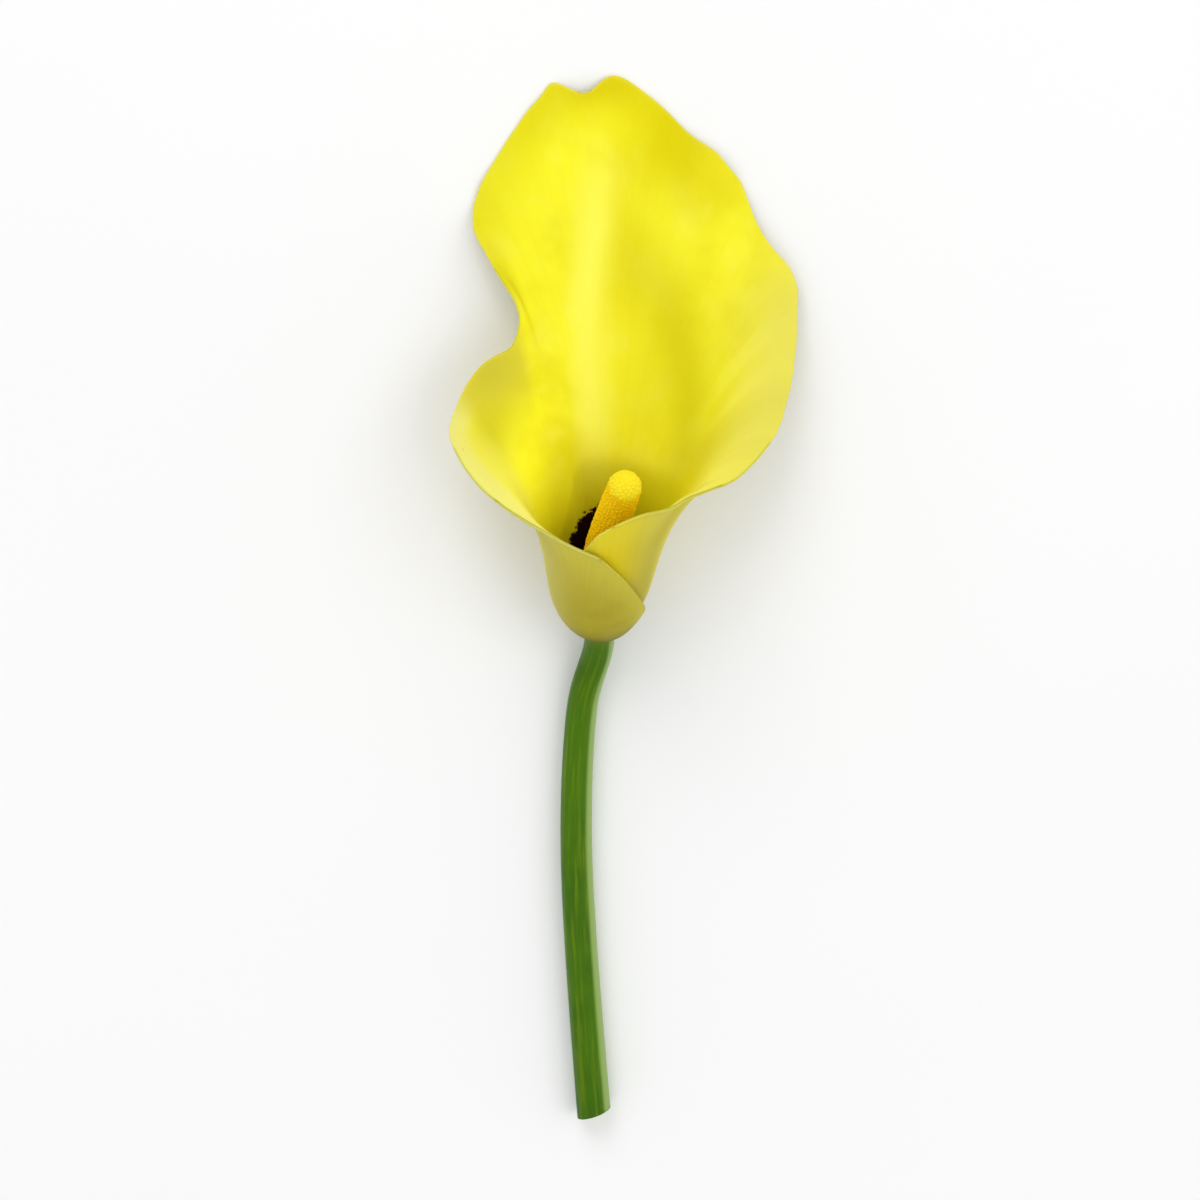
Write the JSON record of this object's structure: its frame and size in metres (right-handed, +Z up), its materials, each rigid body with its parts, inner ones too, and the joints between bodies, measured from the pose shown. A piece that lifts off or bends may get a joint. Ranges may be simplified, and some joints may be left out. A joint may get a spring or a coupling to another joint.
{
  "type": "arum lily flower",
  "caption": "Picked arum lily bloom lying on its back: a rolled, flaring spathe with a waved rim round a grainy finger-like spadix, on a bent cut stem.",
  "frame": {"origin": "on the surface the flower lies on, under the middle of its bounding box", "axes": "+Y from the cut end of the stem to the tip of the spathe, +Z up from the surface, +X to the right seen from above with the tip away"},
  "size_m": [0.0744, 0.2315, 0.0475],
  "materials": {
    "spathe_skin": "satin, smooth, bright yellow inside and dull yellow green outside, near-black blotch low in the throat",
    "stamens": "matte, grainy, golden yellow",
    "ovaries": "satin, pale green beads",
    "stem_skin": "smooth, waxy mid green"
  },
  "bodies": {
    "root": {"spathe": "spathe_skin", "spadix_stamens": "stamens", "spadix_ovaries": "ovaries", "stem": "stem_skin"}
  },
  "joints": []
}
